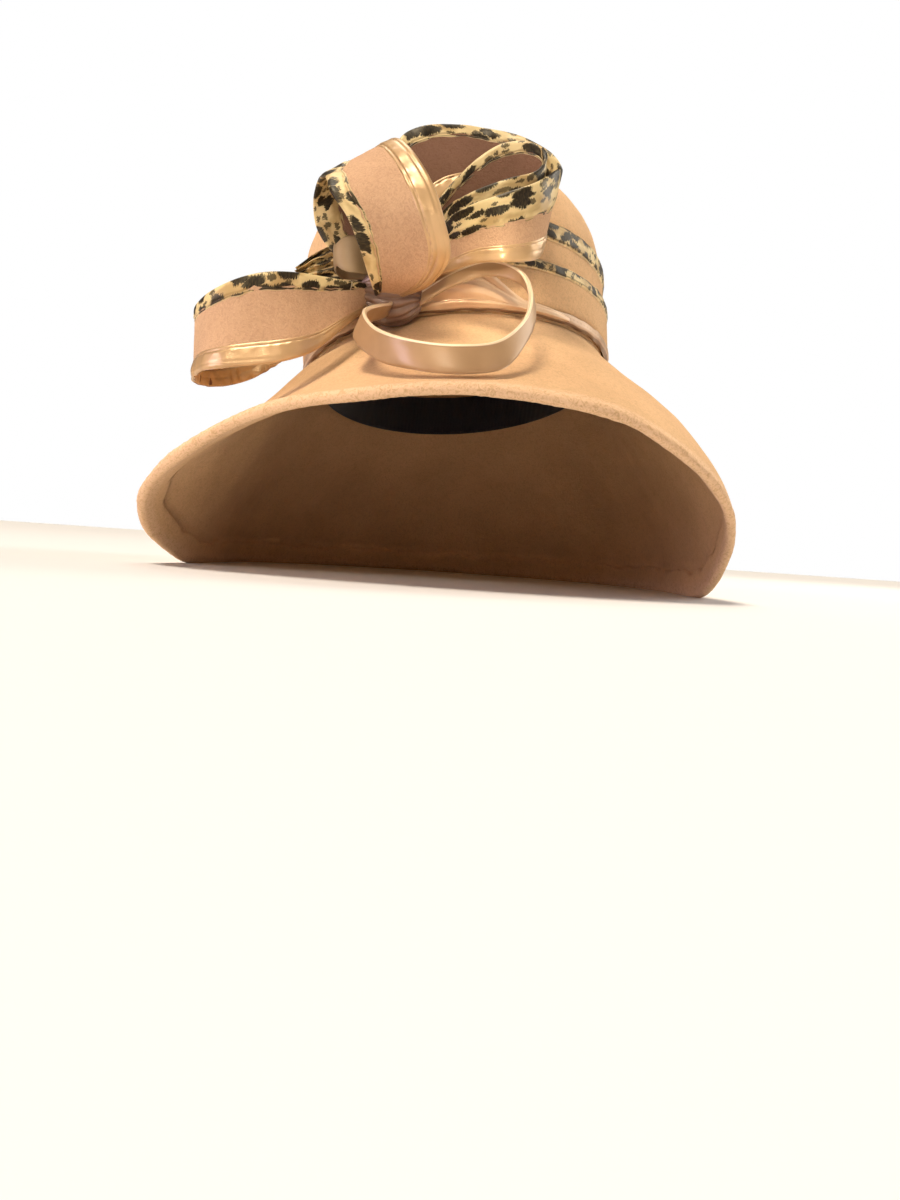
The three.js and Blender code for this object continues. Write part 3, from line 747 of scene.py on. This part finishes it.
def make_crown():
    """Blocked felt, a little uneven outside"""
    angle = np.arange(0, 360, 1.5)
    outer = crown_rings(angle, 0)
    inner = crown_rings(angle, -FELT)
    away = unit(outer - lean(np.array([0, 0, 20.0])))
    outer += away * (0.35 * waves(outer, 55, 3) + 0.12 * waves(outer, 14, 4))[..., None]
    rings = np.concatenate([inner[::-1], outer])
    return sweep("crown_felt", rings, rings, False, "felt", "crown")


def brim_sections(angle):
    """Sections of the brim: down the collar, out to the rim, round it, and back along the hem"""
    shoulder = wall_point(angle, -GAP, SHOULDER_OUTSET)
    rim = np.stack([around(1, angle), around(2, angle), np.maximum(0, around(3, angle)) - PRESS], -1)
    bulge = around(4, angle)[:, None]
    out = unit(rim - shoulder)
    up = unit(CROWN_UP - out * (out @ CROWN_UP)[:, None])
    centre = rim - out * ROLL_RADIUS
    end = centre + up * ROLL_RADIUS
    reach = np.linalg.norm(end - shoulder, axis=1)[:, None]

    def top(s):
        flat = shoulder + (end - shoulder) * s
        arch = bulge * BULGE_SCALE * s * s * (1 - s)
        fade = np.sin(np.pi * np.clip(s, 0, 1)) ** 0.5
        uneven = (0.55 * waves(flat, 70, 5) + 0.12 * waves(flat, 16, 6))[:, None] * fade
        return flat + up * (arch + uneven)

    # Down the outside of the collar and out to the rim, with stations that come closer towards it
    shares = 1 - (1 - np.linspace(0.02, 0.985, 30)) ** 1.3
    inside = -FELT - GAP
    outline = [wall_point(angle, h, inside) for h in (COLLAR, COLLAR * 0.6, COLLAR * 0.25, -GAP)]
    outline.append(shoulder)
    outline += [top(s) for s in shares]
    # Round the rolled rim, with its fuzz
    for turn in np.linspace(0, 180, 13):
        t = math.radians(turn)
        fuzz = 0.2 * waves(rim, 22, 8) + 0.12 * waves(rim + 3 * turn, 3.2, 11)
        swell = ROLL_RADIUS + fuzz[:, None]
        outline.append(centre + up * swell * math.cos(t) + out * swell * math.sin(t))
    # Along the hem, which thins towards its ragged edge, and up that edge
    for share, depth in ((0.25, 5.45), (0.5, 5.1), (0.75, 4.75), (0.95, HEM_THICKNESS + 0.35)):
        outline.append(top(1 - share * HEM / reach) - up * depth)
    hem_at = 1 - HEM / reach
    ragged = (0.9 * waves(rim, 30, 9) + 0.4 * waves(rim, 9, 10))[:, None] / reach
    for step_in, depth in ((0, HEM_THICKNESS), (0.35, 3.6), (0.4, 2.9), (0.42, FELT)):
        outline.append(top(hem_at + ragged - step_in / reach) - up * depth)
    # Back under the felt and up the inside of the collar
    covered = 0.86
    for s in shares[shares < covered][::-1]:
        outline.append(top(s * (hem_at - 0.02) / covered) - up * FELT)
    for height in (-GAP - FELT * 0.6, COLLAR * 0.4, COLLAR):
        outline.append(wall_point(angle, height, inside - FELT))
    sections = np.stack(outline, 1)
    sections[..., 2] = np.maximum(0, sections[..., 2])
    return sections


def make_brim():
    """Brim, with the felt along its rim marked as rubbed"""
    angle = np.arange(0, 360, 0.6)
    sections = brim_sections(angle)
    piece = sweep("brim_felt", sections, sections, True, "felt", "brim")
    rim = np.stack([around(1, angle), around(2, angle), np.maximum(0, around(3, angle))], -1)
    from_rim = np.linalg.norm(sections - rim[:, None], axis=2)
    rubbed = piece.data.attributes.new("rubbed", "FLOAT", "POINT")
    share = np.clip((RUBBED_REACH - from_rim) / RUBBED_FADE, 0, 1)
    rubbed.data.foreach_set("value", share.astype(np.float32).ravel())


def band_sections(foot, top, inner, outer, kind):
    """Sections of an oval band round the crown, with its own round edges, puckers and seam"""
    angle = np.arange(0, 360, 0.75)
    along = np.radians(angle) * CROWN_RADIUS
    binding = kind in ("leopard", "satin")
    least = 0.2
    count = 13
    s = np.linspace(0, 1, count)
    edge = np.abs(2 * s - 1)
    full = np.sqrt(np.maximum(0, 1 - edge ** (5 if binding else 14)))
    outline, strip = [], []
    for k in range(count):
        outset = inner + least + (outer - inner - least) * full[k]
        height = foot + (top - foot) * s[k] + 0 * along
        if binding:
            wave = 0.05 * np.sin(along / 1.15 + 2.2 * np.sin(along / 9)) * (0.35 + edge[k])
            wave += 0.14 * waves(np.stack([along, along * 0, along * 0 + s[k] * 9], -1), 13, 12)
            outset = outset + wave
            height += 0.35 * np.sin(along / 3.1 + 1.7 * np.sin(along / 14)) * edge[k] ** 3
        outline.append(wall_point(angle, height, outset))
        from_seam = along * 0 + min(s[k], 1 - s[k]) * (top - foot)
        strip.append(np.stack([along, height, marked(1, from_seam)], -1))
    for k in reversed(range(count)):
        height = foot + (top - foot) * s[k] + 0 * along
        outline.append(wall_point(angle, height, inner))
        strip.append(np.stack([along, height, marked(-1, along * 0 + PLAIN)], -1))
    return np.stack(outline, 1), np.stack(strip, 1)


def make_bands():
    """Wrap bands outside the crown and the sweatband inside it"""
    made = {}
    for name, row in BANDS.items():
        kind = name.rsplit("_", 1)[1]
        sections, strip = band_sections(*row, kind)
        material = {"felt": "felt", "leopard": "band_leopard", "satin": "binding"}[kind]
        made[name] = sweep(f"{name}_wrap", sections, strip, True, material, name)
    sections, strip = band_sections(*SWEATBAND, "felt")
    made["sweatband"] = sweep("sweatband_ribbon", sections, strip, True, "ribbon", "sweatband")
    return made


def make_drape():
    """Satin that opens out from the knot into three broad folds and lies down on the lower band"""
    columns, rows = 170, 84
    angle = np.linspace(DRAPE[0, 0], DRAPE[-1, 0], columns)
    share = (angle - angle[0]) / (angle[-1] - angle[0])
    top = np.interp(angle, DRAPE[:, 0], DRAPE[:, 1])
    # The satin comes down to the binding of the lower band, and ends lower still
    lying = np.clip((angle - 8) / 14, 0, 1)
    top = top - lying * (top - DRAPE_END_TOP)
    top = top - 3.4 * np.clip((share - 0.7) / 0.3, 0, 1) ** 1.5
    lift = np.interp(angle, DRAPE[:, 0], DRAPE[:, 2])
    u = np.linspace(0, 1, rows)[:, None]
    # Three folds between these bounds. The upper two fade out along the drape.
    bounds = [0 * share, 0.13 + 0.1 * share, 0.6 + 0.12 * share, 1 + 0 * share]
    fading = np.clip(1 - (share - 0.36) / 0.3, 0.05, 1)
    staying = 1 - 0.7 * share**3
    folds = np.zeros((rows, columns))
    for low, high, rise, fade in zip(bounds, bounds[1:], FOLD_RISES, (staying, fading, fading)):
        place = np.clip((u - low) / (high - low), 0, 1)
        folds = np.maximum(folds, rise * fade * np.sin(np.pi * place) ** 0.7)
    gathers = 0.3 * np.sin(2 * np.pi * 7 * u + 4 * np.sin(3 * share)) * np.exp(-5 * share)
    ends = np.clip(u / 0.05, 0, 1) * np.clip((1 - u) / 0.05, 0, 1)
    stand = 0.3 + lift * (0.06 + folds + gathers) * ends
    height = 0.8 + u * (top - 0.8)
    along = np.radians(angle) * CROWN_RADIUS + 0 * u
    outer = wall_point(angle, height, BAND_OUTSIDE + GAP + stand)
    inner = wall_point(angle, height, BAND_OUTSIDE - 0.6)
    sections = np.concatenate([outer, inner[::-1]]).swapaxes(0, 1)
    strip = np.stack([along, u * 30 + 0 * along, marked(1, 0 * along + PLAIN)], -1)
    strip = np.concatenate([strip, strip[::-1]]).swapaxes(0, 1)
    # Its satin is the lighter copy, which paints light on the drape
    return sweep("satin_drape_folds", sections, strip, False, "smooth", "satin_drape")


def curve(points, per_row):
    """Centripetal Catmull-Rom curve through points, with per_row steps from each to the next"""
    points = np.concatenate([[2 * points[0] - points[1]], points, [2 * points[-1] - points[-2]]])
    out = []
    for i in range(1, len(points) - 2):
        p0, p1, p2, p3 = points[i - 1:i + 3]
        pairs = ((p0, p1), (p1, p2), (p2, p3))
        d0, d1, d2 = (max(1e-4, math.sqrt(np.linalg.norm(b - a))) for a, b in pairs)
        m1 = ((p1 - p0) / d0 - (p2 - p0) / (d0 + d1) + (p2 - p1) / d1) * d1
        m2 = ((p2 - p1) / d1 - (p3 - p1) / (d1 + d2) + (p3 - p2) / d2) * d1
        last = i == len(points) - 3
        t = np.linspace(0, 1, per_row + 1)[: None if last else -1, None]
        out.append(smooth_between(p1, m1, p2, m2, t))
    return np.concatenate(out)


class Strip:
    """Strip of cloth between two edges, as stations along it.

    first and second are the edges, across and width lead from one to the other, face is the way that
    the cloth faces, run is the length so far, t goes from 0 to 1, and outer is the side of the face
    that a loop turns outwards."""

    def __init__(self, rows, per_row=20):
        self.first = curve(rows[:, :3], per_row)
        self.second = curve(rows[:, 3:], per_row)
        self.across = self.second - self.first
        self.width = np.linalg.norm(self.across, axis=1)
        self.across = unit(self.across)
        middle = (self.first + self.second) / 2
        self.face = unit(np.cross(unit(np.gradient(middle, axis=0)), self.across))
        self.run = np.concatenate([[0], np.cumsum(np.linalg.norm(np.diff(middle, axis=0), axis=1))])
        self.outer = -np.sign((self.face * (middle.mean(0) - middle)).sum())
        self.t = np.linspace(0, 1, len(middle))

    def tuck(self, inside, share, length):
        """Draws the start of the strip towards a point, by some share, within some length of it"""
        pull = share * np.exp(-((self.run / length) ** 2))[:, None]
        self.first = self.first + (inside - self.first) * pull
        self.second = self.second + (inside - self.second) * pull

    def lane(self, name, shares, half, kind, material, cad_node, offset, columns=31, crumple=0.0,
             creased=1.0):
        """Lane of the strip between two shares of its width.

        half is half its thickness, offset its place on the cloth, crumple how far its pleats stand up
        where the loop has turned, and creased how deep the creases of its satin are."""
        low, high = (np.broadcast_to(x, self.t.shape) for x in shares)
        binding = kind in ("leopard", "satin")
        if kind == "leopard":
            high = high + (0.25 * waves(self.second, 6, 24) + 0.2 * waves(self.second, 17, 25)) / LOOP_WIDTH
        s = np.linspace(0, 1, columns)
        edge = np.abs(2 * s - 1)
        full = half * np.sqrt(np.maximum(0, 1 - edge ** (12 if kind == "felt" else 4)))
        outline, strip = [], []
        for side in (1, -1):
            for k in range(columns)[::side]:
                share = low + (high - low) * s[k]
                base = self.first + self.across * (share * self.width)[:, None]
                uneven = 0.45 * waves(base, 48, 21)
                if crumple:
                    turned = np.clip((self.t - 0.44) / 0.1, 0, 1) * np.clip((0.92 - self.t) / 0.1, 0, 1)
                    pleats = np.sin(self.run / 1.15 + 1.5 * np.sin(self.run / 4.1)) + waves(base, 9, 27)
                    uneven += crumple * turned * pleats * s[k] * (0.7 + 0.4 * waves(base, 11, 28))
                rise = full[k] * np.ones_like(self.run)
                from_seam = PLAIN + 0 * share
                if binding:
                    seam = 1 - s[k] if kind == "leopard" else s[k]
                    from_seam = seam * (high - low) * LOOP_WIDTH
                    relief = self.binding_relief(seam, from_seam, kind, base, creased)
                    rise += relief * (1 - edge[k] ** 6)
                elif kind == "felt":
                    rise += 0.06 * waves(base, 7, 23)
                elif kind == "ring":
                    rise += EDGE_BEAD * math.exp(-((s[k] - 0.07) / 0.04) ** 2)
                    from_seam = share * self.width
                outline.append(base + self.face * (side * rise + uneven)[:, None])
                place = marked(side * self.outer, from_seam)
                strip.append(np.stack([self.run + offset, share * LOOP_WIDTH, place], -1))
        return sweep(name, np.stack(outline, 1), np.stack(strip, 1), False, material, cad_node)

    def binding_relief(self, seam, from_seam, kind, base, creased):
        """Piping along the seam, puckers across it and, on satin, two creases that drift along the strip"""
        relief = -0.5 * np.exp(-((from_seam - 2.2) / 0.5) ** 2)
        pucker = np.sin(self.run / 1.05 + 2.4 * np.sin(self.run / 8))
        relief += 0.12 * pucker * np.exp(-((from_seam - 3.0) / 1.6) ** 2)
        if kind == "leopard":
            return relief + 0.27 * waves(base, 12, 22)
        near_knot = creased * np.exp(-((self.run - 26) / 20) ** 2)
        for place, drift, pace, depth in ((0.5, 0.09, 38, 0.42), (0.76, 0.05, 27, 0.34)):
            middle = place + drift * np.sin(self.run / pace + place * 9)
            strength = np.clip(0.35 + 0.9 * np.sin(self.run / (0.8 * pace) + place * 5), near_knot, 1)
            strength = strength * (1 + 1.1 * near_knot)
            relief -= creased * depth * strength * np.exp(-((seam - middle) / 0.06) ** 2)
        return relief + 0.14 * creased * waves(base, 14, 22)


def widen(t, start, by):
    """Share of a strip that its leopard binding takes, wider by some share past a place along it"""
    return LEOPARD_SHARE + by * np.clip((t - start) / 0.08, 0, 1)


# Rows: loop, its table, its place on the cloth, where its leopard binding widens and by how much, and
# how crumpled and how creased its satin is. The places keep each piece's print and weave its own.
LOOPS = (
    ("left_loop", LEFT_LOOP, 0, 0.56, 0.0, 0.75, 0.5),
    ("centre_loop", CENTRE_LOOP, 400, 0.5, 0.2, 0.0, 1.0),
    ("back_loop", BACK_LOOP, 800, 0.5, 0.28, 0.0, 0.2),
    ("inner_loop", INNER_LOOP, 1200, 0.52, 0.12, 0.0, 0.3),
)
RING_OFFSET = 1600
SMALL_OFFSET = 1900
TUFT_OFFSET = 2200


def make_loops():
    """Loops of the bow, each with its strip, its felt and its two bindings"""
    made = []
    for name, rows, offset, start, by, crumple, creased in LOOPS:
        strip = Strip(rows)
        leopard = strip.lane(f"{name}_leopard_binding", (0.0, widen(strip.t, start, by)), BINDING_HALF,
                             "leopard", "leopard", f"{name}_leopard", offset, columns=29)
        felt = strip.lane(f"{name}_felt_strip", (0.02, 0.98), FELT_HALF,
                          "felt", "loop_felt", f"{name}_felt", offset, columns=33)
        satin = strip.lane(f"{name}_satin_binding", (SATIN_SHARE, 1.0), BINDING_HALF,
                           "satin", "satin", f"{name}_satin", offset, columns=29,
                           crumple=crumple, creased=creased)
        made.append((strip, felt, [leopard, satin]))
    return made


def make_ring():
    """Narrow tube of satin, pressed flat, whose start goes into the knot"""
    strip = Strip(RING_LOOP)
    strip.tuck(KNOT_CENTRE, 0.8, 7)
    return strip, strip.lane("ring_loop_tube", (0.0, 1.0), RING_HALF, "ring", "tube",
                             "ring_loop", RING_OFFSET)


def make_small_loop():
    """Other end of the tube, narrower where it turns"""
    strip = Strip(SMALL_LOOP)
    turn = np.exp(-((strip.t - 0.5) / 0.16) ** 2)
    # Its satin is the darker copy, which paints shade on the small loop
    return strip, strip.lane("small_loop_tube", (0.2 * turn, 1 - 0.24 * turn), SMALL_HALF, "tube",
                             "shaded_tube", "small_loop", SMALL_OFFSET)


def make_tuft():
    """Leopard satin gathered at the knot into a fan of pleats"""
    strip = Strip(TUFT, 40)
    pleats = 4
    outline, places = [], []
    for side in (1, -1):
        for share in np.linspace(0, 1, 61)[::side]:
            base = strip.first + strip.across * (share * strip.width)[:, None]
            fold = np.cos(2 * np.pi * pleats * share + 1.1 * np.sin(3 * strip.t))
            fold = 1.9 * fold * np.sin(np.pi * strip.t * 0.55) + 0.35 * waves(base, 9, 31)
            outline.append(base + strip.face * (fold + side * TUFT_HALF)[:, None])
            places.append(np.stack([strip.run * 1.1 + TUFT_OFFSET, share * 55 + 0 * strip.t,
                                    marked(side, PLAIN + 0 * strip.t)], -1))
    return strip, sweep("leopard_tuft_pleats", np.stack(outline, 1), np.stack(places, 1), False,
                        "leopard", "leopard_tuft")


def make_knot():
    """Knot of gathered satin, with folds that run along it"""
    rings, size = 70, 168
    turn = np.linspace(0.02, np.pi - 0.02, rings)[:, None]
    round_it = np.linspace(0, 2 * np.pi, size, endpoint=False)[None]
    shape = np.stack([-np.cos(turn) * np.ones_like(round_it), np.sin(turn) * np.cos(round_it),
                      np.sin(turn) * np.sin(round_it)], -1)
    fold = np.abs(np.sin(8.5 * round_it + 0.9 * np.sin(3 * turn) + 0.5 * np.cos(2 * round_it))) ** 0.7
    reach = 0.8 + 0.1 * fold * np.sin(turn) ** 0.5 + 0.02 * waves(shape * 18, 12, 41)
    points = shape * reach[..., None] * KNOT_HALF + KNOT_CENTRE
    strip = np.stack([turn * 30 + 0 * round_it, round_it * 12 + 0 * turn,
                      marked(1, PLAIN + 0 * turn * round_it)], -1)
    # Its satin is the darker copy, which paints shade on the knot
    return sweep("bow_knot_gathers", points, strip, False, "knot", "bow_knot")


crown = make_crown()
make_brim()
bands = make_bands()
drape = make_drape()
loops = make_loops()
ring, ring_piece = make_ring()
small, small_piece = make_small_loop()
tuft, tuft_piece = make_tuft()
knot = make_knot()
